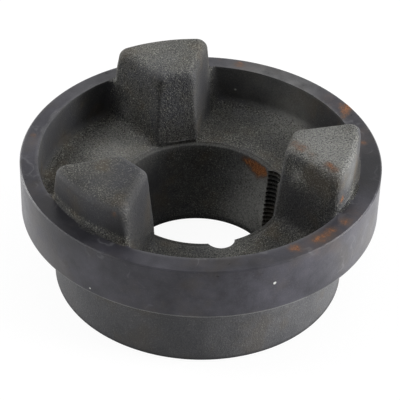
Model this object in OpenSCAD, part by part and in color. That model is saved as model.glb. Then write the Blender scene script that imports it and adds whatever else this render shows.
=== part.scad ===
// Three-lug flange of a flexible shaft coupling, one iron casting.
// The origin is the centre of the boss end face, +Z points out of the cup
// and the first lug stands towards +Y.

/* [Rim] */
// Outside diameter of the rim
rim_d = 85; // [80:0.5:96]
// Height of the rim from its back to its face
rim_h = 13.2; // [12:0.1:18]
// Mean wall of the rim round the cup
rim_wall = 4.6; // [3:0.1:6]
// Chamfer on the two outer edges of the rim
rim_chamfer = 0.3; // [0.2:0.1:1.5]

/* [Boss] */
// Diameter of the boss behind the rim
boss_d = 69.9; // [64:0.1:76]
// Length of the boss from its end face to the rim
boss_h = 19.9; // [14:0.1:30]
// Chamfer on the end of the boss
boss_chamfer = 0.4; // [0.2:0.1:2]
// Fillet in the corner between boss and rim
boss_fillet = 1; // [0.4:0.1:2]

/* [Cup] */
// Depth of the cup below the rim face
cup_depth = 10.8; // [8:0.1:11.5]
// Fillet between the cup floor and the rim wall
cup_fillet = 2.5; // [1:0.1:4]
// Sideways shift of the cast cup and lugs against the turned faces, along X
core_shift_x = -0.3; // [-0.6:0.05:0.6]
// The same shift along Y
core_shift_y = 0.35; // [-0.6:0.05:0.6]

/* [Taper bore] */
// Diameter of the taper bore at the cup floor
bore_d = 38.4; // [34:0.1:39]
// Slope of the bore wall, in degrees to the axis
bore_slope = 4; // [2:0.5:6]
// Chamfer on the upper edge of the bore
bore_lip = 0.2; // [0.1:0.05:0.5]
// Chamfer on the lower edge of the bore
bore_exit = 0.4; // [0.2:0.1:1]
// Width of the faced land round the bore
land_w = 1.15; // [0.9:0.05:3]
// Height of the slot that facing the land cut into the foot of each lug
land_slot = 0.9; // [0.3:0.1:1.2]

/* [Screw half-holes] */
// Diameter of the grub screws, over their threads
screw_d = 6.35; // [5:0.05:7]
// Thread depth that the tapped half-holes leave under that diameter
thread_depth = 0.58; // [0.4:0.02:0.8]
// Clearance of the plain half-hole round a grub screw
screw_clearance = 0.1; // [0.05:0.05:0.3]
// Distance of the screw axes inside the bore wall at the cup floor
screw_inset = 0.9; // [0.3:0.1:1.5]
// Depth of the tapped half-holes, down to the drill point
tapped_depth = 17; // [12:0.5:19]
// Depth of the plain half-hole, down to the drill point
plain_depth = 17; // [12:0.5:19]
// Direction of the first tapped half-hole, in degrees from +X
tapped_angle = 5; // [0:0.5:20]
// Direction of the plain half-hole, in degrees from +X
plain_angle = 269.5; // [260:0.5:280]

/* [Lugs] */
// Number of lugs
lug_count = 3; // [2:1:4]
// Height of the lugs above the rim face
lug_rise = 9.3; // [6:0.1:14]
// Distance of a lug's inner face from the cup axis at the cup floor
lug_face_x = 19.4; // [19.2:0.1:22]
// Width of a lug's inner face at the cup floor, between sharp corners
lug_face_w = 10.3; // [8:0.1:12]
// Angle between the two flanks of a lug
lug_wedge = 56.5; // [40:0.5:62]
// Draft of the flanks, in degrees
flank_draft = 4.5; // [2:0.5:7]
// Draft of the inner face, in degrees
face_draft = 5; // [2:0.5:7]
// Gap from the cup wall in to the outer face of a lug
lug_setback = 0.6; // [0.4:0.1:1.2]
// Height over which a lug's outer face runs out into the rim
ledge_h = 2; // [1:0.1:3]
// Rounding of a lug's upper edges
edge_r = 2; // [1:0.1:2.4]
// Rounding of a lug's four upright corners at the cup floor
corner_r = 1.1; // [0.8:0.1:2]
// Rounding of those corners at the top of a lug, where the pattern is more worn
corner_top_r = 2.7; // [1.5:0.1:3]
// Fillet between a lug's flanks and the cup floor
foot_r = 2.6; // [1:0.1:3.5]
// Fillet between a lug's flanks and the cup wall
wall_r = 1.6; // [1:0.1:3]

/* [Hidden] */
$fn = 96;

rim_z = boss_h + rim_h;
floor_z = rim_z - cup_depth;
cup_r = rim_d / 2 - rim_wall;
lug_h = cup_depth + lug_rise;
lug_r = cup_r - lug_setback;
screw_r = bore_d / 2 - screw_inset;
// Half angle of the drill point, and the flat left by its chisel edge
point_angle = 59;
chisel_d = 0.8;
// How far cutters run past a face and joined shapes into each other, and the
// step at the rim face between the two parts of a lug
over = 1;
bite = 0.15;
hair = 0.05;

// Rings over a round, points over a corner and points over a lug's outer face
ring_steps = 6;
corner_steps = 5;
face_steps = 4;
flank_tilt = lug_wedge / 2;
flank_n = [-sin(flank_tilt), cos(flank_tilt)];
flank_d = [cos(flank_tilt), sin(flank_tilt)];
flank_c = flank_n * [lug_face_x, lug_face_w / 2];

function polar(r, a) = [r * cos(a), r * sin(a)];
function angle_of(p) = atan2(p[1], p[0]);
function arc(centre, r, a, b, steps) =
    [for (i = [0:steps]) centre + polar(r, a + (b - a) * i / steps)];
function flip(points) =
    [for (i = [len(points) - 1:-1:0]) [points[i][0], -points[i][1]]];

// Sideways run, at height z, of a fillet that is w wide at height 0 and h high
function flare(z, h, w) = z < h ? w - w * sqrt(1 - pow(1 - max(z, 0) / h, 2)) : 0;

// Point that lies c from the axis along the flank's normal and r from the axis
function on_flank(c, r) = c * flank_n + sqrt(r * r - c * c) * flank_d;

// Half outline of a lug at height z above the floor, from inner face to outer.
// The free upper part of a lug stands a hair inside its lower part.
function half_outline(z, free) =
    let (inset = flare(lug_h - z, edge_r, edge_r) + (free ? hair : 0))
    let (foot = flare(z + bite, foot_r, foot_r))
    let (side = flank_c - z * tan(flank_draft) + foot - inset)
    let (face = lug_face_x + z * tan(face_draft) + inset)
    let (rounding = corner_r + (corner_top_r - corner_r) * pow(max(z, 0) / lug_h, 3))
    let (c = max(rounding - inset, 2 * bite))
    let (in_y = (side - c - flank_n[0] * (face + c)) / flank_n[1])
    let (inner = arc([face + c, in_y], c, 180, 90 + flank_tilt, corner_steps))
    concat(inner, free ? free_end(z - cup_depth, side, inset, c) : wall_end(side));

// Outer end of that half outline above the rim, with a rounded corner
function free_end(z, side, inset, c) =
    let (r = lug_r + flare(z + bite, ledge_h + bite, lug_setback + bite) - inset)
    let (centre = on_flank(side - c, r - c))
    concat(arc(centre, c, 90 + flank_tilt, angle_of(centre), corner_steps),
           arc([0, 0], r, angle_of(centre) * (1 - 1 / face_steps), 0, face_steps - 1));

// Outer end of that half outline inside the cup, with a fillet to the wall
function wall_end(side) =
    let (wall = cup_r + bite)
    let (centre = on_flank(side + wall_r, wall - wall_r))
    let (end = angle_of(centre))
    concat(arc(centre, wall_r, flank_tilt - 90, end, corner_steps),
           arc([0, 0], wall + over, end * (1 - 1 / face_steps), 0, face_steps - 1));

function lug_ring(z, free) =
    let (half = half_outline(z, free))
    [for (p = concat(half, flip([for (i = [0:len(half) - 2]) half[i]])))
        [p[0], p[1], floor_z + z]];

// Heights of the rings of a lug's lower part, with its foot fillet
lower_heights = concat(
    [-over],
    [for (i = [0:ring_steps]) foot_r * (1 - cos(90 * i / ring_steps)) - bite],
    [cup_depth + over / 2]);

// Heights of the rings of its upper part, with ledge and rounded top
upper_heights = concat(
    [cup_depth - over],
    [for (i = [0:ring_steps - 1]) cup_depth - bite + ledge_h * pow(i / (ring_steps - 1), 2)],
    [for (i = [0:ring_steps]) lug_h - edge_r * (1 - sin(90 * i / ring_steps))]);

// Solid through rings of points that run clockwise, from the lowest ring up
module loft(rings) {
    n = len(rings[0]);
    last = len(rings) - 1;
    sides = [for (k = [0:last - 1], i = [0:n - 1])
        let (j = (i + 1) % n)
        each [[k * n + i, (k + 1) * n + j, (k + 1) * n + i],
              [k * n + i, k * n + j, (k + 1) * n + j]]];
    bottom = [for (i = [n - 1:-1:0]) i];
    top = [for (i = [0:n - 1]) last * n + i];
    polyhedron([for (ring = rings) each ring], concat(sides, [bottom, top]));
}

// Places its children at every lug, in the line of the cast core
module at_lugs() {
    translate([core_shift_x, core_shift_y, 0])
        for (i = [0:lug_count - 1]) rotate(90 + 360 * i / lug_count) children();
}

// Outer section of the turned body, from the axis outwards
module body_section() {
    difference() {
        union() {
            square([boss_d / 2, rim_z]);
            translate([0, boss_h]) square([rim_d / 2, rim_h + over]);
            translate([boss_d / 2, boss_h - boss_fillet]) inside_corner(boss_fillet);
        }
        translate([rim_d / 2, rim_z]) edge_cut(rim_chamfer);
        translate([rim_d / 2, boss_h]) edge_cut(rim_chamfer);
        translate([boss_d / 2, 0]) edge_cut(boss_chamfer);
    }
}

// Fills the corner between a wall on the left and a face above it
module inside_corner(r) {
    difference() {
        translate([-over, 0]) square([r + over, r + over]);
        translate([r, 0]) circle(r);
    }
}

// Diamond that takes a chamfer of width w off a square edge
module edge_cut(w) {
    rotate(45) square(w * sqrt(2), center = true);
}

// Section of the cup's hollow, with the fillet at its floor
module cup_section() {
    translate([0, floor_z]) square([cup_r - cup_fillet, cup_depth + 2 * over]);
    translate([0, floor_z + cup_fillet]) square([cup_r, cup_depth - cup_fillet + 2 * over]);
    translate([cup_r - cup_fillet, floor_z + cup_fillet]) circle(cup_fillet);
}

module taper_bore() {
    slope = tan(bore_slope);
    exit_r = bore_d / 2 - floor_z * slope;
    top = land_slot / 2;
    translate([0, 0, -over])
        cylinder(r1 = exit_r - over * slope, r2 = bore_d / 2 + top * slope, h = over + floor_z + top);
    translate([0, 0, floor_z - bore_lip])
        cylinder(r1 = bore_d / 2, r2 = bore_d / 2 + bore_lip + top, h = bore_lip + top);
    translate([0, 0, -over])
        cylinder(r1 = exit_r + bore_exit + over, r2 = exit_r, h = bore_exit + over);
}

// Blind hole for a grub screw, with half of its width in the bore
module screw_hole(d, depth, direction) {
    tip = (d - chisel_d) / 2 / tan(point_angle);
    rotate(direction) translate([screw_r, 0, floor_z - depth]) {
        cylinder(d = d, h = depth + land_slot / 2);
        translate([0, 0, -tip]) cylinder(d1 = chisel_d, d2 = d, h = tip);
    }
}

// Cup and the lugs' lower parts, faced off at the rim
module faced_casting() {
    difference() {
        union() {
            difference() {
                rotate_extrude() body_section();
                translate([core_shift_x, core_shift_y, 0]) rotate_extrude() cup_section();
            }
            at_lugs() loft([for (z = lower_heights) lug_ring(z, false)]);
        }
        translate([0, 0, rim_z]) cylinder(d = rim_d + over, h = 2 * over);
    }
}

module coupling_flange() {
    color("dimgray") difference() {
        union() {
            faced_casting();
            at_lugs() loft([for (z = upper_heights) lug_ring(z, true)]);
        }
        taper_bore();
        translate([0, 0, floor_z]) cylinder(r = bore_d / 2 + land_w, h = land_slot);
        for (side = [0, 180])
            screw_hole(screw_d - 2 * thread_depth, tapped_depth, tapped_angle + side);
        screw_hole(screw_d + 2 * screw_clearance, plain_depth, plain_angle);
    }
}

coupling_flange();
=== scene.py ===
import math

import bmesh
import bpy
import numpy as np
from mathutils import Matrix, Vector


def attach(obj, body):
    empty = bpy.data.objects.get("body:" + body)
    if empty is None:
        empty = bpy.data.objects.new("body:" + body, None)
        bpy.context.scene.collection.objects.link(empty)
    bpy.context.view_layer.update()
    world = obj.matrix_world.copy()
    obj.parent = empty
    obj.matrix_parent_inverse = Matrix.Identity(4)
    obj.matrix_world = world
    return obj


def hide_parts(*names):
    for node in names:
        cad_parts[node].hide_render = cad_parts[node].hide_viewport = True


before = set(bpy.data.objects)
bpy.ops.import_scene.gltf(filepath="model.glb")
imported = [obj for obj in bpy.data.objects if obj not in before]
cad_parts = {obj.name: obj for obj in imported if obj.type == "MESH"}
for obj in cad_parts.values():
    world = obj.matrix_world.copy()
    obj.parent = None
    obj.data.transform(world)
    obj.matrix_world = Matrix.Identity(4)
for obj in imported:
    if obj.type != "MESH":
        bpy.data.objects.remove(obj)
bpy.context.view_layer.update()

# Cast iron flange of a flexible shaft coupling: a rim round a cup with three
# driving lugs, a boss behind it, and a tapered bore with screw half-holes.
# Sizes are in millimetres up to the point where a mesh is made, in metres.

MM = 0.001

# Turned body: radii and heights, with its chamfers and the fillet behind the rim
RIM_R, RIM_FACE, RIM_BACK = 42.5, 33.1, 19.9
BOSS_R, BOSS_FILLET = 34.95, 1.0
RIM_EDGE, BOSS_EDGE = 0.3, 0.4
# Cast cup, which the mould left a little off the turned axis
CUP_R, FLOOR_Z, CUP_FILLET = 37.9, 22.3, 2.5
CAST_SHIFT = np.array([-0.3, 0.35, 0.0])
# Bore, and the land that was faced round it
BORE_R, BORE_SLOPE, BORE_LIP, BORE_EXIT = 19.2, math.tan(math.radians(4)), 0.2, 0.4
LAND_W, LAND_SLOT = 1.15, 0.9
# Half-holes: two that are tapped for a grub screw, and a plain one
SCREW_R, SCREW_D, SCREW_PITCH, THREAD_DEPTH = 18.3, 6.35, 1.27, 0.58
SCREW_DEPTH, PLAIN_D, POINT_SLOPE = 17.0, 6.55, math.tan(math.radians(59))
TAP_POINT = (SCREW_D / 2 - THREAD_DEPTH) / POINT_SLOPE
TAP_TURNS, DRILL_TURN = (math.radians(5), math.radians(185)), math.radians(269.5)
# Lugs
LUGS = 3
LUG_TOP, LUG_R, LEDGE_H, LEDGE_W = 42.4, 37.3, 2.0, 0.6
LUG_FACE, LUG_FACE_W, LUG_WEDGE = 19.4, 10.3, math.radians(56.5) / 2
FLANK_DRAFT, FACE_DRAFT = math.tan(math.radians(4.5)), math.tan(math.radians(5))
LUG_EDGE, LUG_CORNER, LUG_TOP_CORNER = 2.0, 1.1, 2.7
# How fast a corner's rounding grows towards the top, and the cosine of the angle
# between the outward directions of a flank and the outer face
CORNER_GROWTH, OUTER_CORNER_COS = 3, -0.127
# How far a lug's outer face runs into the cup wall, a millimetre below the rim face
LUG_ROOT = 3
# Fillets at a lug's foot, up the wall and at its nose, the heights between which
# the first turns into the second, and the run over which the third fades in
FOOT_FILLET, WALL_FILLET, NOSE_FILLET = 2.6, 1.6, 0.3
BLEND_HEIGHTS, NOSE_RUN = (2.5, 7.0), 1.5
# Unevenness of the cast skin, the height over which it fades below the lugs' tops,
# and the allowance that keeps an uneven floor above the bored land
MOULD_WAVE, WAVE_FADE, FLOOR_ALLOWANCE = 0.05, 2, 0.06

# Columns of the round grid, and the radii and heights of its lines: where each
# run of lines starts, and the step in it
COLUMNS = 480
GRID_RADII = ((17.9, 0.5), (40.4, 0.5))
GRID_HEIGHTS = ((21.82, 0.54), (42.1, 0.5), (43.2, 0.55))
# Radii and heights of the turned rings between the edges
FACE_RINGS, BACK_RINGS, END_RINGS = (41.0, 41.6, 42.0), (40, 38), (31, 27, 23)
RIM_RINGS = (32.6, 32.2, 31.2, 29.8, 28.3, 26.8, 25.3, 23.8, 22.4, 21.2, 20.5)
BOSS_RINGS = (17, 15, 13, 11, 9, 7, 5, 3, 1.5)
# Cored hole before it is bored
CORE_R, CORE_RINGS = 17.6, (5, 10, 15, 20)
# Points nearer to each other than this are one
WELD_GAP = 0.00005

# Camera of the photograph: angles in radians, distance and aim as shares of the
# rim's radius, and focal length in pixels of a picture of that width
CAMERA_TURN, CAMERA_TILT, CAMERA_ROLL = math.radians(-16.6), 0.660915, 0.0304936
CAMERA_DISTANCE, AIM_RIGHT, AIM_DOWN = 10.0381, 0.00156, 0.244113
SENSOR_WIDTH, FOCAL_PIXELS, PICTURE_PIXELS = 36.0, 1814.371, 400


def fade(value, start, end):
    """0 at start and 1 at end, straight between them; start may be above end."""
    return np.clip((value - start) / (end - start), 0, 1)


def bore_radius(z):
    """Radius of the tapered bore at a height."""
    return BORE_R - (FLOOR_Z - z) * BORE_SLOPE


def make_camera():
    """Camera of the photograph, in the part's frame."""
    turn, tilt, roll = CAMERA_TURN, CAMERA_TILT, CAMERA_ROLL
    level = math.cos(tilt)
    unit = RIM_R * MM
    right = Vector((math.cos(turn), math.sin(turn), 0))
    back = Vector((math.sin(turn) * level, -math.cos(turn) * level, math.sin(tilt)))
    up = back.cross(right)
    aim = Vector((0, 0, RIM_FACE * MM)) + unit * (AIM_RIGHT * right - AIM_DOWN * up)
    data = bpy.data.cameras.new("camera")
    data.sensor_width = SENSOR_WIDTH
    data.lens = SENSOR_WIDTH * FOCAL_PIXELS / PICTURE_PIXELS
    data.clip_start, data.clip_end = 0.01, 20.0
    camera = bpy.data.objects.new("camera", data)
    x = right * math.cos(roll) + up * math.sin(roll)
    y = up * math.cos(roll) - right * math.sin(roll)
    facing = Matrix((x, y, back)).transposed().to_4x4()
    camera.matrix_world = Matrix.Translation(aim + back * CAMERA_DISTANCE * unit) @ facing
    bpy.context.scene.collection.objects.link(camera)
    bpy.context.scene.camera = camera


# Cast surface

def round_max(a, b, r, cos=0.0):
    """Distance to where two solids meet, with the edge between them rounded to r."""
    a, b = a + r, b + r
    sin = math.sqrt(1 - cos * cos)
    apex = np.sqrt(np.maximum(a * a + b * b - 2 * a * b * cos, 0)) / sin
    edge = (b > a * cos) & (a > b * cos) & (np.maximum(a, b) > 0)
    return np.where(edge, apex, np.maximum(a, b)) - r


def round_min(a, b, r):
    return -round_max(-a, -b, r)


def flare(z, h, w):
    """Sideways run at height z of a fillet that is w wide and h high."""
    run = 1 - np.clip(z, 0, h) / h
    return w - w * np.sqrt(np.maximum(1 - run * run, 0))


class Unevenness:
    """The slow waves of a sand-cast skin, as a sum of plane waves."""

    def __init__(self, seed, longest, shortest, waves):
        rng = np.random.default_rng(seed)
        lengths = np.exp(rng.uniform(np.log(shortest), np.log(longest), waves))
        ways = rng.normal(size=(waves, 3))
        self.k = ways / np.linalg.norm(ways, axis=1)[:, None] * (2 * np.pi / lengths)[:, None]
        self.phase = rng.uniform(0, 2 * np.pi, waves)
        self.size = lengths / lengths.mean() / math.sqrt(waves)

    def at(self, p):
        total = np.zeros(len(p))
        for k, phase, size in zip(self.k, self.phase, self.size):
            total += size * np.sin(p @ k + phase)
        return total


mould_waves = Unevenness(7, 16.0, 3.0, 18)


def lug_field(u, v, z):
    """Distance to a lug that points along u, with z above the cup floor."""
    s, c = math.sin(LUG_WEDGE), math.cos(LUG_WEDGE)
    r = np.hypot(u, v)
    v = np.abs(v)
    flank = -s * (u - LUG_FACE) + c * (v - LUG_FACE_W / 2) + z * FLANK_DRAFT
    face = LUG_FACE + z * FACE_DRAFT - u
    above = z - (RIM_FACE - FLOOR_Z)
    root = LEDGE_W + LUG_ROOT * np.minimum(-above, 1)
    outer = r - LUG_R - np.where(above > 0, flare(above, LEDGE_H, LEDGE_W), root)
    growth = np.clip(z / (LUG_TOP - FLOOR_Z), 0, 1) ** CORNER_GROWTH
    corner = LUG_CORNER + (LUG_TOP_CORNER - LUG_CORNER) * growth
    plan = round_max(flank, face, corner, s)
    plan = round_max(plan, outer, corner, OUTER_CORNER_COS)
    return round_max(plan, z - (LUG_TOP - FLOOR_Z), LUG_EDGE)


def cast_field(p):
    """Distance to the cast iron inside the cup and above the rim face."""
    q = p - CAST_SHIFT
    r, z = np.hypot(q[:, 0], q[:, 1]), q[:, 2] - FLOOR_Z
    turn = np.arctan2(q[:, 1], q[:, 0]) - math.pi / 2
    step = 2 * math.pi / LUGS
    turn -= np.round(turn / step) * step
    wave = MOULD_WAVE * mould_waves.at(p) * fade(p[:, 2], LUG_TOP, LUG_TOP - WAVE_FADE)
    reach = r * np.cos(turn)
    lug = lug_field(reach, r * np.sin(turn), z)
    hollow = round_min(z - FLOOR_ALLOWANCE, CUP_R - r, CUP_FILLET)
    blend = np.interp(z, BLEND_HEIGHTS, [FOOT_FILLET, WALL_FILLET])
    blend = NOSE_FILLET + (blend - NOSE_FILLET) * fade(reach, LUG_FACE, LUG_FACE + NOSE_RUN)
    hollow = round_min(hollow, lug, blend)
    return np.minimum(np.maximum(hollow - wave, z - (RIM_FACE - FLOOR_Z)), lug - wave)


# Steps that close in on a crossing, sums kept for a cell (6 of its planes' matrix, 3 of
# their pull, 3 of place and a count), the weight that holds a vertex to the middle of
# its crossings, and the furthest that it moves from there
CROSSING_STEPS, CELL_SUMS, MIDDLE_WEIGHT, LONGEST_MOVE = 3, 13, 0.08, 0.6


def slope_of(field, p, h=0.02):
    """Outward direction of a field's surface at each point."""
    n = np.stack([field(p + h * axis) - field(p - h * axis) for axis in np.eye(3)], 1)
    return n / np.maximum(np.linalg.norm(n, axis=1), 1e-9)[:, None]


def skin(field, turns, radii, heights):
    """Quads on the surface of a field, one vertex to a cell of a round grid. A vertex
    sits where the planes through its cell's crossings meet, so edges stay sharp.
    Also gives the innermost and the outermost vertex of each column."""
    shape = (len(turns), len(radii), len(heights))
    cells = (shape[0], shape[1] - 1, shape[2] - 1)
    t, r, z = np.meshgrid(turns, radii, heights, indexing="ij")
    grid = np.stack([r * np.cos(t), r * np.sin(t), z], -1)
    value = field(grid.reshape(-1, 3)).reshape(shape)
    solid = value < 0
    sums = np.zeros((np.prod(cells), CELL_SUMS))
    quads, ways = [], []
    for axis in range(3):
        near = np.argwhere(solid != np.roll(solid, -1, axis))
        if axis:
            near = near[near[:, axis] < shape[axis] - 1]
        far = near.copy()
        far[:, axis] = (far[:, axis] + 1) % shape[axis]
        a, b = grid[tuple(near.T)], grid[tuple(far.T)]
        fa, fb = value[tuple(near.T)], value[tuple(far.T)]
        for _ in range(CROSSING_STEPS):
            p = a + (fa / (fa - fb))[:, None] * (b - a)
            f = field(p)
            left = (f < 0) == (fa < 0)
            a, fa = np.where(left[:, None], p, a), np.where(left, f, fa)
            b, fb = np.where(left[:, None], b, p), np.where(left, fb, f)
            fa, fb = np.where(fa == 0, 1e-9, fa), np.where(fb == 0, -1e-9 * np.sign(fa), fb)
        n = slope_of(field, p)
        d = (n * p).sum(1)
        row = np.column_stack([n[:, 0:1] * n, n[:, 1:2] * n[:, 1:], n[:, 2] ** 2,
                               n * d[:, None], p, np.ones(len(p))])
        other = [k for k in range(3) if k != axis]
        corners, whole = [], np.ones(len(near), bool)
        for back in ((1, 1), (0, 1), (0, 0), (1, 0)):
            cell = near.copy()
            for k, step in zip(other, back):
                cell[:, k] -= step
            cell[:, 0] %= shape[0]
            inside = ((cell[:, 1:] >= 0) & (cell[:, 1:] < cells[1:])).all(1)
            number = (cell[:, 0] * cells[1] + cell[:, 1]) * cells[2] + cell[:, 2]
            number = np.where(inside, number, 0)
            for col in range(CELL_SUMS):
                sums[:, col] += np.bincount(number[inside], row[inside, col], len(sums))
            corners.append(number)
            whole &= inside
        quads.append(np.stack(corners, 1)[whole])
        ways.append(n[whole])
    used = np.flatnonzero(sums[:, -1])
    s = sums[used]
    a = s[:, [0, 1, 2, 1, 3, 4, 2, 4, 5]].reshape(-1, 3, 3)
    middle = s[:, 9:12] / s[:, 12:]
    pull = s[:, 6:9] - (a @ middle[:, :, None])[:, :, 0]
    move = np.linalg.solve(a + MIDDLE_WEIGHT * np.eye(3), pull[:, :, None])[:, :, 0]
    move *= np.minimum(1, LONGEST_MOVE / np.maximum(np.linalg.norm(move, axis=1), 1e-9))[:, None]
    verts = middle + move
    index = np.full(len(sums), -1)
    index[used] = np.arange(len(used))
    quads = index[np.concatenate(quads)]
    ways = np.concatenate(ways)
    v = verts[quads]
    normal = np.cross(v[:, 2] - v[:, 0], v[:, 3] - v[:, 1])
    turned = (normal * ways).sum(1) < 0
    quads[turned] = quads[turned][:, ::-1]
    place = index.reshape(cells)
    inner = place[:, 0].max(1)
    outer = place[:, -1].max(1)
    return verts, quads, inner, outer


def spaced(stops):
    """Grid lines through (start, step) stops, each run kept even."""
    lines = []
    for (a, step), (b, _) in zip(stops, stops[1:]):
        n = max(1, round((b - a) / step))
        lines += [a + (b - a) * i / n for i in range(n)]
    return np.array(lines + [stops[-1][0]])


# Turned body

def turned_profile():
    """Radius and height of the turned rings, from the rim face round to the cored hole."""
    bends = np.linspace(0, math.pi / 2, 7)
    return [*((r, RIM_FACE) for r in (*FACE_RINGS, RIM_R - RIM_EDGE)),
            *((RIM_R, z) for z in (RIM_FACE - RIM_EDGE, *RIM_RINGS, RIM_BACK + RIM_EDGE)),
            *((r, RIM_BACK) for r in (RIM_R - RIM_EDGE, *BACK_RINGS)),
            *((BOSS_R + BOSS_FILLET * (1 - math.sin(a)), RIM_BACK - BOSS_FILLET * (1 - math.cos(a)))
              for a in bends),
            *((BOSS_R, z) for z in (*BOSS_RINGS, BOSS_EDGE)),
            *((r, 0) for r in (BOSS_R - BOSS_EDGE, *END_RINGS)),
            *((CORE_R, z) for z in (0, *CORE_RINGS))]


def mesh_object(name, verts, faces, finishes, slots=None):
    """Object from points in millimetres, with the number of each face's finish."""
    mesh = bpy.data.meshes.new(name)
    mesh.from_pydata((np.asarray(verts) * MM).tolist(), [], [list(map(int, f)) for f in faces])
    for finish in finishes:
        mesh.materials.append(finish)
    if slots is not None:
        mesh.polygons.foreach_set("material_index", np.asarray(slots, np.int32))
    mesh.validate()
    piece = bpy.data.objects.new(name, mesh)
    bpy.context.scene.collection.objects.link(piece)
    return piece


def circle(r, z, turns):
    """Points of one ring at the given angles."""
    return np.stack([r * np.cos(turns), r * np.sin(turns), np.full(len(turns), z)], 1)


def make_casting(cast_skin, turned_iron, boss_skin):
    """The casting before it is bored: cast cup and lugs, and the turned outside."""
    turns = np.arange(COLUMNS) * 2 * math.pi / COLUMNS
    verts, quads, inner, outer = skin(cast_field, turns, spaced(GRID_RADII), spaced(GRID_HEIGHTS))
    machined = (np.abs(verts[quads][:, :, 2] - RIM_FACE) < 0.01).all(1)
    middles = turns + math.pi / COLUMNS
    rings, faces, slots = [outer], [], []
    points = [verts]
    count = len(verts)
    profile = turned_profile()
    for r, z in profile:
        points.append(circle(r, z, middles))
        rings.append(count + np.arange(COLUMNS))
        count += COLUMNS
    rings.append(inner)
    heights_of = [RIM_FACE] + [z for _, z in profile] + [FLOOR_Z]
    for (a, b), top, low in zip(zip(rings, rings[1:]), heights_of, heights_of[1:]):
        faces.append(np.stack([a, b, np.roll(b, -1), np.roll(a, -1)], 1))
        on_boss = max(top, low) < RIM_BACK and min(top, low) >= BOSS_EDGE - 1e-6
        slots += [2 if on_boss else 1] * COLUMNS
    return mesh_object("coupling_casting", np.concatenate(points), np.concatenate([quads] + faces),
                       (cast_skin, turned_iron, boss_skin),
                       np.concatenate([machined.astype(int), slots]))


def lathe(name, profile, columns, finish):
    """Closed solid turned about the axis, from a profile that starts and ends on it."""
    turns = np.arange(columns) * 2 * math.pi / columns
    (_, bottom), *rims, (_, top) = profile
    points = [np.array([[0.0, 0.0, bottom]])] + [circle(r, z, turns) for r, z in rims]
    points.append(np.array([[0.0, 0.0, top]]))
    rings = [1 + k * columns + np.arange(columns) for k in range(len(rims))]
    last = 1 + len(rims) * columns
    faces = [[0, b, a] for a, b in zip(rings[0], np.roll(rings[0], -1))]
    for a, b in zip(rings, rings[1:]):
        faces += np.stack([a, np.roll(a, -1), np.roll(b, -1), b], 1).tolist()
    faces += [[last, a, b] for a, b in zip(rings[-1], np.roll(rings[-1], -1))]
    return mesh_object(name, np.concatenate(points), faces, (finish,))


def make_boring_tool(finish):
    """What the boring cut takes out: the taper, its chamfers and the faced land."""
    taper = [(bore_radius(z), z) for z in np.linspace(BORE_EXIT, FLOOR_Z - BORE_LIP, 16)]
    land_r, land_top = BORE_R + LAND_W, FLOOR_Z + LAND_SLOT
    profile = [(0, -1), (bore_radius(0) + BORE_EXIT + 1, -1), *taper, (BORE_R + BORE_LIP, FLOOR_Z),
               (land_r, FLOOR_Z), (land_r, land_top), (0, land_top)]
    return lathe("boring_tool", profile, 360, finish)


# Node graphs

class Graph:
    """Adds nodes to a tree. Each method gives a Wire, which arithmetic works on."""

    def __init__(self, tree):
        self.tree = tree

    def node(self, kind, settings=None, inputs=None, out=0):
        node = self.tree.nodes.new(kind)
        for name, value in (settings or {}).items():
            setattr(node, name, value)
        for key, value in (inputs or {}).items():
            if isinstance(value, Wire):
                self.tree.links.new(value.socket, node.inputs[key])
            else:
                node.inputs[key].default_value = value
        return Wire(self, node.outputs[out])

    def math(self, operation, *values):
        return self.node("ShaderNodeMath", {"operation": operation}, dict(enumerate(values)))

    def distance(self, a, b):
        """Distance between two points."""
        return self.node("ShaderNodeVectorMath", {"operation": "DISTANCE"}, {0: a, 1: b}, 1)

    def join(self, value, socket):
        """Links a Wire to an input of a node that was there already."""
        self.tree.links.new(value.socket, socket)


class Wire:
    """A socket's output, with the operators of arithmetic on numbers."""

    def __init__(self, graph, socket):
        self.graph, self.socket = graph, socket

    def __add__(self, other):
        return self.graph.math("ADD", self, other)

    def __sub__(self, other):
        return self.graph.math("SUBTRACT", self, other)

    def __rsub__(self, other):
        return self.graph.math("SUBTRACT", other, self)

    def __mul__(self, other):
        return self.graph.math("MULTIPLY", self, other)

    def __truediv__(self, other):
        return self.graph.math("DIVIDE", self, other)

    def least(self, other):
        return self.graph.math("MINIMUM", self, other)

    def most(self, other):
        return self.graph.math("MAXIMUM", self, other)

    def ramp(self, low, high):
        """0 at low and 1 at high, smooth and clamped; low may be above high."""
        return self.graph.node("ShaderNodeMapRange", {"interpolation_type": "SMOOTHSTEP"},
                               {"Value": self, "From Min": low, "From Max": high})

    def share(self):
        """The value, kept between 0 and 1."""
        return self.least(1.0).most(0.0)


# Thread cutter

# Points round a tap, and rings along it
TAP_AROUND, TAP_ALONG = 49, 160
# The thread's V is this much too deep, so that its crests and roots come out flat
THREAD_STEEPNESS = 1.2
# Slope of a tap's flat end, steep enough to look square, and the gap that welds it
END_SLOPE, SEAM_GAP = 1000.0, 0.0005


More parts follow.
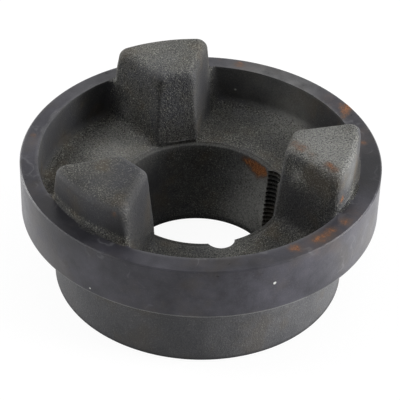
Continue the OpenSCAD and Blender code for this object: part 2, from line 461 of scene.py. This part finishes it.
def thread_tree(finish):
    """Tap with a V thread and a drill point, wound from a flat grid."""
    tree = bpy.data.node_groups.new("tap", "GeometryNodeTree")
    g = Graph(tree)
    faces = tree.interface
    sizes = (("Across Threads", SCREW_D), ("Thread Depth", THREAD_DEPTH), ("Pitch", SCREW_PITCH),
             ("Length", TAP_POINT + SCREW_DEPTH + LAND_SLOT / 2), ("Point Slope", POINT_SLOPE),
             ("Around", TAP_AROUND), ("Along", TAP_ALONG))
    for name, value in sizes:
        kind = "NodeSocketInt" if isinstance(value, int) else "NodeSocketFloat"
        faces.new_socket(name, in_out="INPUT", socket_type=kind).default_value = value
    faces.new_socket("Geometry", in_out="OUTPUT", socket_type="NodeSocketGeometry")
    given = tree.nodes.new("NodeGroupInput")
    size = {socket.name: Wire(g, socket) for socket in given.outputs if socket.name}
    flat = tree.nodes.new("GeometryNodeMeshGrid")
    g.join(size["Around"], flat.inputs["Vertices X"])
    g.join(size["Along"], flat.inputs["Vertices Y"])
    flat.inputs["Size X"].default_value = 1.0
    flat.inputs["Size Y"].default_value = 1.0
    parts = tree.nodes.new("ShaderNodeSeparateXYZ")
    g.join(g.node("GeometryNodeInputPosition"), parts.inputs[0])
    x, y = Wire(g, parts.outputs[0]), Wire(g, parts.outputs[1])
    angle = x * (2 * math.pi)
    z = (y + 0.5) * size["Length"]
    turns = z / size["Pitch"] - x + 8.0
    ridge = g.math("ABSOLUTE", g.math("FRACT", turns) * 2.0 - 1.0)
    ridge = (ridge * THREAD_STEEPNESS - (THREAD_STEEPNESS - 1) / 2).share()
    body = size["Across Threads"] / 2.0 - size["Thread Depth"] * (1.0 - ridge)
    radius = body.least(z * size["Point Slope"]).least((size["Length"] - z) * END_SLOPE)
    across, along = radius * g.math("COSINE", angle), radius * g.math("SINE", angle)
    point = g.node("ShaderNodeCombineXYZ", None, {0: across, 1: along, 2: z})
    wound = g.node("GeometryNodeSetPosition", None,
                   {"Geometry": Wire(g, flat.outputs[0]), "Position": point})
    closed = g.node("GeometryNodeMergeByDistance", None, {"Geometry": wound, "Distance": SEAM_GAP})
    real = g.node("GeometryNodeRealizeInstances", None, {"Geometry": closed})
    done = g.node("GeometryNodeSetMaterial", None, {"Geometry": real, "Material": finish})
    g.join(done, tree.nodes.new("NodeGroupOutput").inputs[0])
    return tree


def beside_bore(direction, z=0):
    """Point on a half-hole's axis."""
    return SCREW_R * math.cos(direction), SCREW_R * math.sin(direction), z


def make_tap(tree, direction):
    """A tap standing in its half-hole, as a plain mesh."""
    carrier = bpy.data.objects.new("tap", bpy.data.meshes.new("tap"))
    bpy.context.scene.collection.objects.link(carrier)
    modifier = carrier.modifiers.new("tap", "NODES")
    modifier.node_group = tree
    evaluated = carrier.evaluated_get(bpy.context.evaluated_depsgraph_get())
    mesh = bpy.data.meshes.new_from_object(evaluated)
    carrier.modifiers.remove(modifier)
    spot = Vector(beside_bore(direction, FLOOR_Z - SCREW_DEPTH - TAP_POINT))
    mesh.transform(Matrix.Translation(spot) @ Matrix.Rotation(direction, 4, "Z"))
    mesh.transform(Matrix.Scale(MM, 4))
    carrier.data = mesh
    outward(mesh)
    return carrier


def outward(mesh):
    """Turns a closed mesh's faces outwards."""
    work = bmesh.new()
    work.from_mesh(mesh)
    bmesh.ops.recalc_face_normals(work, faces=work.faces)
    if work.calc_volume(signed=True) < 0:
        bmesh.ops.reverse_faces(work, faces=work.faces)
    work.to_mesh(mesh)
    work.free()


def make_drill(direction, finish):
    """The plain half-hole's drill, with its point."""
    bottom, top = FLOOR_Z - SCREW_DEPTH, FLOOR_Z + LAND_SLOT / 2
    side = [(PLAIN_D / 2, z) for z in np.linspace(bottom, top, 12)]
    point = (0, bottom - PLAIN_D / 2 / POINT_SLOPE)
    drill = lathe("drill", [point, *side, (0, top)], 64, finish)
    drill.data.transform(Matrix.Translation([c * MM for c in beside_bore(direction)]))
    return drill


def cut(piece, tool):
    """Takes a tool's solid out of a piece. The cut faces keep the tool's finish."""
    modifier = piece.modifiers.new("cut", "BOOLEAN")
    modifier.operation = "DIFFERENCE"
    modifier.solver = "EXACT"
    modifier.material_mode = "TRANSFER"
    modifier.object = tool
    evaluated = piece.evaluated_get(bpy.context.evaluated_depsgraph_get())
    mesh = bpy.data.meshes.new_from_object(evaluated)
    piece.modifiers.remove(modifier)
    piece.data = mesh
    bpy.data.objects.remove(tool)


def weld(mesh):
    """Joins points that the cuts left at one place, and drops the folded slivers between them."""
    work = bmesh.new()
    work.from_mesh(mesh)
    bmesh.ops.remove_doubles(work, verts=work.verts, dist=WELD_GAP * MM)
    slivers = [face for face in work.faces if any(edge.is_boundary for edge in face.edges)]
    bmesh.ops.delete(work, geom=slivers, context="FACES")
    bmesh.ops.dissolve_verts(work, verts=[vert for vert in work.verts if len(vert.link_edges) == 2])
    work.to_mesh(mesh)
    work.free()


# Finishes

# Rust patches: place and size in mm, and strength
RUST = (
    # Rim face
    (40.1, 10.9, 33.1, 1.6, 0.8), (38.9, 8.6, 33.1, 1.3, 0.7), (37.6, 6.9, 33.1, 0.9, 0.5),
    (39.1, -4.2, 33.1, 1.0, 0.6), (19.7, 35.2, 33.1, 1.3, 0.5), (15.6, 38.2, 33.1, 0.8, 0.4),
    (10.8, -37.9, 33.1, 1.7, 0.6), (17.1, -36.2, 33.1, 1.3, 0.5), (19.2, -35.0, 33.1, 1.0, 0.45),
    (21.0, -33.8, 33.1, 1.2, 0.45), (24.8, -31.7, 33.1, 1.4, 0.5), (-36.6, 17.5, 33.1, 0.9, 0.6),
    # Edges of the right lug
    (23.5, -22.0, 42.2, 1.2, 0.75), (24.3, -24.0, 41.8, 1.2, 0.85), (21.0, -18.0, 42.2, 1.6, 0.45),
    (19.3, -14.6, 42.2, 1.8, 0.55), (18.5, -12.0, 41.8, 1.3, 0.45), (25.8, -26.3, 35.5, 1.2, 0.55),
    # Upper edge of the bore, by the tapped half-hole
    (14.6, 12.2, 20.9, 1.0, 0.6), (15.5, 11.0, 20.6, 1.2, 0.8), (16.4, 9.7, 20.2, 1.5, 0.9),
    (17.2, 8.1, 20.2, 1.5, 0.9), (17.8, 6.9, 20.4, 1.3, 0.9), (18.3, 5.8, 20.9, 1.0, 0.8),
    (17.2, 8.3, 18.6, 1.2, 0.6),
    # Brown stains on the rim face
    (37.0, 14.0, 33.1, 5.0, 0.25), (40.0, 0.0, 33.1, 4.0, 0.22), (22.0, 33.0, 33.1, 5.0, 0.22),
    (-38.0, 14.0, 33.1, 4.0, 0.15), (18.0, -36.0, 33.1, 6.0, 0.28), (28.0, -29.0, 33.1, 4.0, 0.22),
    # Corner of the left lug
    (-27.0, -25.6, 40.4, 0.9, 0.5),
)

# Patches of painted light, or of painted shade where the strength is negative, with one pale
# speckled place among them:
# place and size in mm, and strength
PAINTED_LIGHT_AND_SHADE_PATCHES = (
    # Painted light on the outer face of the right lug, and a pale speckled place on its inner side
    (32.0, -23.5, 38.5, 5.5, 0.75), (17.9, -17.8, 36.8, 3.0, 1.20),
    # Painted light on the foot and left flank of the back lug
    (-11.2, 31.0, 25.5, 3.5, 0.60), (-10.0, 29.5, 32.0, 7.0, 0.30),
    # Painted light on the cup floor and wall at the back right, and on the floor at the left and in
    # front
    (30.0, 22.5, 22.5, 7.0, 0.80), (30.0, 24.0, 27.5, 6.0, 0.50), (22.0, 31.2, 29.5, 6.0, 0.60),
    (13.0, 35.5, 29.0, 5.0, 0.20), (-16.0, 21.5, 22.3, 8.0, 0.70), (-1.0, -21.5, 22.3, 4.5, 0.35),
    # Painted light on the right and left sides of the bore
    (16.3, 9.5, 15.0, 6.5, 0.85), (15.2, 11.5, 5.0, 5.5, 0.85), (17.5, 5.4, 9.5, 4.5, 0.85),
    (17.6, 5.8, 16.0, 3.5, 0.45), (-12.0, 12.0, 12.0, 12.0, 0.12),
    # Painted shadows on the rim face, beside the front lugs
    (-37.7, -11.0, 33.1, 6.5, -0.85), (-34.0, -21.5, 33.1, 7.0, -0.60),
    (-26.0, -31.0, 33.1, 8.0, -0.25), (34.0, -19.0, 33.1, 6.0, -0.80),
    (37.8, -10.5, 33.1, 7.0, -0.80), (-33.0, -14.0, 37.0, 4.0, -0.30),
    # Painted shade in the corners of the cup, beside the lugs
    (-15.0, 36.0, 26.0, 4.0, -1.00), (-34.2, 10.0, 22.3, 4.5, -0.60),
    (15.0, -22.0, 22.3, 7.0, -0.35), (-30.0, 24.0, 29.0, 7.0, -0.60),
    # Painted shade on flanks and edges of the lugs
    (-20.0, -20.0, 36.0, 7.0, -0.80), (8.5, 28.5, 34.0, 7.0, -0.85),
    (25.5, -27.5, 33.8, 3.0, -0.80), (-32.5, -15.5, 42.4, 3.0, -0.40),
    (-22.5, -22.5, 42.2, 3.5, -0.30), (-26.3, -26.5, 36.5, 3.5, -0.50),
    (17.5, -18.0, 32.0, 7.0, -0.75),
    # Painted light on the sides of the rim
    (23.5, -35.4, 25.5, 6.5, 0.12), (30.5, -29.6, 25.5, 6.5, 0.13), (36.0, -22.5, 25.5, 6.5, 0.14),
    (-41.0, -11.0, 25.5, 6.5, 0.16), (-38.0, -19.0, 25.5, 6.0, 0.12),
    # Painted reflection on the back of the rim face
    (32.0, 24.0, 33.1, 8.0, 0.25), (-33.0, 27.0, 33.1, 6.0, 0.25),
)

# The same, only on what faces up: dust and painted light on the tops of the back and right lugs
TOP_DUST_AND_PAINTED_LIGHT = ((-0.3, 32.0, 42.4, 11.0, 0.45), (25.0, -15.5, 42.4, 11.0, 1.25))

# Places where the cast skin or the bore is smooth: place and size in mm, and strength
SMOOTH = (
    (-24.0, -14.0, 42.4, 9.0, 0.75), (-12.0, -17.0, 32.0, 9.0, 0.90), (6.5, 27.0, 33.0, 7.0, 0.90),
    (-10.0, 16.0, 12.0, 11.0, 1.00), (-18.0, 4.0, 10.0, 12.0, 1.00),
)

# White flecks: place and width in mm
FLECKS = (
    (5.3, -42.2, 27.7, 0.6), (-33.0, -26.8, 21.3, 0.4), (-27.6, -21.4, 13.6, 0.35),
    (-24.0, -21.0, 38.6, 0.6), (18.3, 33.1, 26.8, 0.6),
)

# Colours that every finish shares
SLEEK_TONE, WORN_AND_HIGHLIGHT_TONE = (0.050, 0.050, 0.057), (0.17, 0.17, 0.175)
BROWN_TINT, BLUE_TINT = (0.070, 0.055, 0.036), (0.042, 0.044, 0.054)
# Colours towards which painted light and painted shade are mixed
PAINTED_LIGHT_TONE, PAINTED_SHADE_TONE = (0.22, 0.22, 0.21), (0.012, 0.012, 0.014)
SPECK_TONE, FLECK_TONE, SCUFF_TONE = (0.30, 0.30, 0.26), (0.60, 0.60, 0.57), (0.24, 0.24, 0.25)
STAIN_TONE, OLD_RUST, FRESH_RUST = (0.085, 0.055, 0.038), (0.10, 0.035, 0.015), (0.34, 0.135, 0.05)
# Depth of the mould's grains in the skin, in metres
GRAIN_DEPTH = 0.0003


def noise(g, place, scale, detail=2.0, roughness=0.5):
    return g.node("ShaderNodeTexNoise", None,
                  {"Vector": place, "Scale": scale, "Detail": detail, "Roughness": roughness})


def mix(g, factor, a, b):
    """Colour between two, each of which is a Wire or red, green and blue."""
    a, b = (c if isinstance(c, Wire) else (*c, 1) for c in (a, b))
    return g.node("ShaderNodeMix", {"data_type": "RGBA"}, {0: factor, 6: a, 7: b}, 2)


def iron(name, dark, light, sand, rough, shine, smudge):
    """Blackened iron between two tones. Sand is how strongly the skin shows the
    mould's grains, and smudge how strongly handling has marked it."""
    material = bpy.data.materials.new(name)
    material.use_nodes = True
    g = Graph(material.node_tree)
    shader = material.node_tree.nodes["Principled BSDF"]
    place = g.node("ShaderNodeTexCoord", out=3)
    wear_and_highlight, rust, painted_shading, sleek = (g.node("ShaderNodeAttribute", {"attribute_name": kind}, out=2)
                                for kind in ("wear_and_highlight", "rust", "painted_shading", "sleek"))

    # Noises, from the broadest to the finest
    clouds = noise(g, place, 60.0, 5.0, 0.6)
    handled = noise(g, place, 90.0, 1.0)
    tint = noise(g, place, 110.0, 3.0, 0.6)
    strokes = noise(g, place, 150.0, 2.0, 0.5)
    patches = noise(g, place, 260.0, 3.0, 0.6)
    pits = noise(g, place, 900.0, 2.0, 0.6)
    spots = noise(g, place, 900.0, 3.0, 0.7)
    grains = noise(g, place, 2500.0, 2.0, 0.75)
    specks = noise(g, place, 3500.0, 1.0, 0.6)

    # The skin's own tone and its tints, then painted light and painted shade from the shading
    # attribute
    coarse = (1.0 - sleek * 0.75) * sand
    tone = (clouds - 0.5) * smudge + (patches - 0.5) * (0.6 * smudge)
    tone = tone + (grains - 0.5) * coarse * 3.6 + 0.5
    colour = mix(g, tone.share(), dark, light)
    colour = mix(g, sleek * 0.5, colour, SLEEK_TONE)
    colour = mix(g, tint.ramp(0.50, 0.68) * (0.2 + 0.35 * sand), colour, BROWN_TINT)
    colour = mix(g, tint.ramp(0.48, 0.32) * (0.1 + 0.35 * sand), colour, BLUE_TINT)
    colour = mix(g, (painted_shading * (tone * 0.9 + 0.25)).share(), colour, PAINTED_LIGHT_TONE)
    colour = mix(g, (painted_shading * -0.8).share(), colour, PAINTED_SHADE_TONE)

    # What lies on it or was rubbed into it: specks, fewer of them in painted shade, flecks, scuffs,
    # and worn edges with a painted highlight
    specks = (specks + (clouds - 0.5) * 0.2).ramp(0.58, 0.70)
    colour = mix(g, specks * coarse * (painted_shading * 0.7 + 0.65).least(1.0).most(0.1), colour, SPECK_TONE)
    for *spot, width in FLECKS:
        away = g.distance(place, [c * MM for c in spot]) / (width * MM) + (pits - 0.5)
        colour = mix(g, away.ramp(0.75, 0.25), colour, FLECK_TONE)
    scuffs = g.math("ABSOLUTE", strokes - 0.5).ramp(0.03, 0.0)
    scuffs *= handled.ramp(0.52, 0.62) * patches.ramp(0.42, 0.55)
    colour = mix(g, scuffs * ((smudge - 0.8) * 0.18), colour, SCUFF_TONE)
    colour = mix(g, wear_and_highlight * 0.35, colour, WORN_AND_HIGHLIGHT_TONE)

    # Rust, in spots within a brown stain
    spots = (rust + (spots - 0.5) * 1.4).ramp(0.30, 1.1) * rust.ramp(0.05, 0.30)
    stain = (rust + (patches - 0.5) * 0.6).ramp(0.08, 0.55)
    colour = mix(g, stain * 0.6, colour, STAIN_TONE)
    colour = mix(g, spots * 0.9, colour, mix(g, grains.ramp(0.35, 0.65), OLD_RUST, FRESH_RUST))
    g.join(colour, shader.inputs["Base Color"])

    roughness = (patches - 0.5) * 0.25 + (clouds - 0.5) * 0.2 + rough + spots * 0.2 - wear_and_highlight * 0.1
    g.join(roughness, shader.inputs["Roughness"])
    shader.inputs["Specular IOR Level"].default_value = shine
    relief = (grains - 0.5) * coarse + (pits - 0.5) * coarse * 0.5 + (patches - 0.5) * 0.15
    bump = g.node("ShaderNodeBump", None, {"Distance": GRAIN_DEPTH, "Height": relief})
    g.join(bump, shader.inputs["Normal"])
    return material


# Attributes

# Bend, in radians per millimetre, at which wear and its painted highlight start to show and at
# which an edge is fully worn and lit, and how many times the bend is spread to the points around
WORN_FROM, WORN_TO, WEAR_SPREADS = 0.15625, 0.78125, 3
# Radius outside which the upper edge of the bore can be worn
LAND_R = 21.6


def add_attribute(mesh, name, values):
    attribute = mesh.attributes.new(name, "FLOAT", "POINT")
    attribute.data.foreach_set("value", np.asarray(values, np.float32))


def read_mesh(mesh):
    """Places in millimetres and normals of a mesh's points, and its edges."""
    co = np.zeros(len(mesh.vertices) * 3)
    mesh.vertices.foreach_get("co", co)
    normals = np.zeros(len(mesh.vertices) * 3)
    mesh.vertex_normals.foreach_get("vector", normals)
    edges = np.zeros(len(mesh.edges) * 2, np.int32)
    mesh.edges.foreach_get("vertices", edges)
    return co.reshape(-1, 3) / MM, normals.reshape(-1, 3), edges.reshape(-1, 2)


def edge_wear_and_highlight(co, normals, edges):
    """How sharply the surface turns outwards, from 0 to 1: edges that handling rubs bright, partly
    a painted highlight.
    The rim's edge gets less of it in front and more at the back, as painted highlight, and the bore
    and the bottom edge get none."""
    a, b = edges.T
    run = co[b] - co[a]
    bend = ((normals[b] - normals[a]) * run).sum(1) / np.maximum((run * run).sum(1), 1e-4)
    count = np.bincount(a, minlength=len(co)) + np.bincount(b, minlength=len(co))
    for _ in range(WEAR_SPREADS):
        total = np.bincount(a, bend, len(co)) + np.bincount(b, bend, len(co))
        value = total / np.maximum(count, 1)
        bend = (value[a] + value[b]) / 2
    x, y, z = co.T
    r = np.hypot(x, y)
    # Painted highlight: the rim's edge is paler towards the back and darker in front
    value *= np.where(r > RIM_R - 1, np.clip(0.5 + y / 40, 0.2, 0.9), 1)
    outside = (r > LAND_R) | (z > FLOOR_Z - 0.3)
    return fade(value, WORN_FROM, WORN_TO) * outside * fade(z, 1, 2)


def patches_at(co, patches):
    """Strength at each point of all the patches that reach it."""
    total = np.zeros(len(co))
    for x, y, z, size, strength in patches:
        away = ((co - (x, y, z)) ** 2).sum(1)
        total += strength * np.exp(-away / (size * size))
    return total


def painted_shading_at(co, normals):
    """Painted light and painted shade: how much paler the skin is drawn than its own tone, or
    darker where it is negative.
    """
    x, y, z = co.T
    r = np.hypot(x, y)
    # Dust and painted light on what faces up, more of it inside the cup
    up = fade(normals[:, 2], 0.5, 0.9)
    dust_and_light = 0.10 + 0.10 * fade(z, RIM_FACE, RIM_FACE - 2) + patches_at(co, TOP_DUST_AND_PAINTED_LIGHT)
    painted_shading = patches_at(co, PAINTED_LIGHT_AND_SHADE_PATCHES) + up * dust_and_light
    # Painted shade on the lugs' flanks and on the rim face, more of it in front, and painted light
    # on the ledges behind the lugs, more of it on the left
    painted_shading -= 0.30 * (1 - up) * fade(z, FLOOR_Z, FLOOR_Z + 2) * fade(r, 36.5, 35)
    shaded_rim_face = (np.abs(z - RIM_FACE) < RIM_EDGE + 0.1) & (r > CUP_R)
    painted_shading -= 0.40 * shaded_rim_face * np.clip(0.6 - y / 50, 0.1, 1)
    lit_ledge = fade(np.abs(z - RIM_FACE - 1.1), 1.2, 0) * (r > LUG_R - 1)
    painted_shading += 0.60 * lit_ledge * np.clip(0.8 - x / 40, 0.1, 1.5)
    # Painted highlight on the lower edge of the rim, and painted shade on the lower end of the boss
    # and on the bottom edges
    painted_shading += 0.95 * ((r > RIM_R - RIM_EDGE - 0.1) & (z < RIM_BACK + RIM_EDGE + 0.1))
    painted_shading -= 0.12 * fade(z, 9, 3) * (r > BOSS_R - 1)
    painted_shading -= (z < BORE_EXIT + 0.1) & (normals[:, 2] > -0.95)
    # Threads: painted light on their crests, and none elsewhere, so the rest keeps the thread
    # finish's painted dark
    for turn in TAP_TURNS:
        spot_x, spot_y, _ = beside_bore(turn)
        away = np.hypot(x - spot_x, y - spot_y)
        lit_crest = fade(away, SCREW_D / 2, SCREW_D / 2 - THREAD_DEPTH)
        thread = (away < SCREW_D / 2 + 0.1) & (r > bore_radius(z) + 0.1) & (z < FLOOR_Z)
        painted_shading = np.where(thread, 0.30 * lit_crest, painted_shading)
    return painted_shading


def sleekness(co, normals):
    """1 on the cup's wall and the lugs' outer faces, which the mould left smooth."""
    r, z = np.hypot(co[:, 0], co[:, 1]), co[:, 2]
    facing = (co[:, :2] * normals[:, :2]).sum(1) / np.maximum(r, 1)
    wall = fade(-facing, 0.6, 0.85)
    lug = fade(facing, 0.6, 0.85) * fade(z, RIM_FACE + LEDGE_H, RIM_FACE + LEDGE_H + 0.8)
    faces = np.maximum(wall, lug) * fade(r, 31, 33)
    return np.clip(faces + patches_at(co, SMOOTH), 0, 1)


# Studio

# Soft boxes: name, place and width in metres, and power in watts
LAMPS = (
    ("top_box", (0.0, 0.0, 0.95), 0.9, 3.1),
    ("left_box", (-0.575, 0.172, 0.6), 0.6, 2.8),
    ("low_left_box", (-0.69, 0.50, 0.08), 0.5, 6.3),
    ("right_box", (0.766, -0.229, 0.25), 0.8, 3.9),
    ("low_right_box", (0.80, -0.30, 0.08), 0.5, 17.8),
)
# What the boxes are turned to, in metres
LAMP_AIM = (0, 0, 0.02)
# The paper lies just under the part, and reaches this far each way, in mm
PAPER_Z, PAPER_REACH = -0.02, 3000
# Strength of the sky away from the rays that show the background, share of the
# paper's look that is plain white there, and strength of that white
SKY_LIGHT, PAPER_WHITE, WHITE_STRENGTH = 0.05, 0.88, 1.05


def shows_background(g):
    """1 for rays that show the background: to the camera, in metal and through glass."""
    outputs = g.tree.nodes.new("ShaderNodeLightPath").outputs
    camera, glossy, through = (Wire(g, outputs[f"Is {kind} Ray"])
                               for kind in ("Camera", "Glossy", "Transmission"))
    return (camera + glossy + through).least(1.0)


def make_studio():
    """White surroundings, white paper under the part, and the soft boxes."""
    scene = bpy.context.scene
    scene.view_settings.view_transform = "Standard"
    world = bpy.data.worlds.new("studio")
    scene.world = world
    world.use_nodes = True
    g = Graph(world.node_tree)
    sky = world.node_tree.nodes["Background"]
    g.join(shows_background(g) * (1 - SKY_LIGHT) + SKY_LIGHT, sky.inputs["Strength"])
    sky.inputs["Color"].default_value = (1, 1, 1, 1)
    corners = [(x * PAPER_REACH, y * PAPER_REACH, PAPER_Z)
               for x, y in ((-1, -1), (1, -1), (1, 1), (-1, 1))]
    floor = mesh_object("floor", corners, [(0, 1, 2, 3)], (floor_finish(),))
    for name, place, size, power in LAMPS:
        lamp = bpy.data.lights.new(name, "AREA")
        lamp.energy, lamp.size = power, size
        light = bpy.data.objects.new(name, lamp)
        light.location = place
        away = Vector(place) - Vector(LAMP_AIM)
        light.rotation_euler = away.to_track_quat("Z", "Y").to_euler()
        scene.collection.objects.link(light)


def floor_finish():
    """White paper. It is near white to the camera, with the part's shadow on it,
    and see-through from below."""
    material = bpy.data.materials.new("white_paper")
    material.use_nodes = True
    g = Graph(material.node_tree)
    shader = material.node_tree.nodes["Principled BSDF"]
    shader.inputs["Base Color"].default_value = (0.85, 0.85, 0.85, 1)
    shader.inputs["Roughness"].default_value = 0.9
    white = g.node("ShaderNodeEmission", None, {"Color": (1, 1, 1, 1), "Strength": WHITE_STRENGTH})
    paper = g.node("ShaderNodeMixShader", None,
                   {0: shows_background(g) * PAPER_WHITE, 1: Wire(g, shader.outputs[0]), 2: white})
    from_below = g.node("ShaderNodeNewGeometry", out=6)
    clear = g.node("ShaderNodeBsdfTransparent")
    whole = g.node("ShaderNodeMixShader", None, {0: from_below, 1: paper, 2: clear})
    g.join(whole, material.node_tree.nodes["Material Output"].inputs["Surface"])
    return material


# The part

# Angle between faces from which an edge is shaded as sharp
SHARP_ANGLE = math.radians(32)

make_camera()
cast_skin = iron("cast_skin", dark=(0.005, 0.005, 0.005), light=(0.084, 0.082, 0.075),
                 sand=1.1, rough=0.70, shine=0.20, smudge=0.9)
turned_iron = iron("turned_iron", dark=(0.014, 0.0135, 0.018), light=(0.069, 0.067, 0.082),
                   sand=0.08, rough=0.34, shine=0.26, smudge=1.8)
boss_skin = iron("boss_skin", dark=(0.027, 0.027, 0.030), light=(0.104, 0.104, 0.109),
                 sand=0.3, rough=0.60, shine=0.24, smudge=1.1)
bored_iron = iron("bored_iron", dark=(0.008, 0.008, 0.008), light=(0.076, 0.076, 0.072),
                  sand=0.6, rough=0.70, shine=0.03, smudge=0.9)
# The threads' near-black finish is painted shade for the dark inside the tapped half-holes
painted_dark_thread_iron = iron("painted_dark_thread_iron", dark=(0.001, 0.001, 0.001), light=(0.008, 0.008, 0.008),
                   sand=0.4, rough=0.60, shine=0.03, smudge=0.5)

casting = make_casting(cast_skin, turned_iron, boss_skin)
cut(casting, make_boring_tool(bored_iron))
tap = thread_tree(painted_dark_thread_iron)
for direction in TAP_TURNS:
    cut(casting, make_tap(tap, direction))
cut(casting, make_drill(DRILL_TURN, bored_iron))
weld(casting.data)
casting.data.shade_smooth()
casting.data.set_sharp_from_angle(angle=SHARP_ANGLE)
co, normals, edges = read_mesh(casting.data)
# Attributes for the finishes: worn edges with painted highlight, rust, painted light and shade, and
# smooth places
add_attribute(casting.data, "wear_and_highlight", edge_wear_and_highlight(co, normals, edges))
add_attribute(casting.data, "rust", patches_at(co, RUST))
add_attribute(casting.data, "painted_shading", painted_shading_at(co, normals))
add_attribute(casting.data, "sleek", sleekness(co, normals))
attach(casting, "root")
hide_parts("coupling_flange")

make_studio()
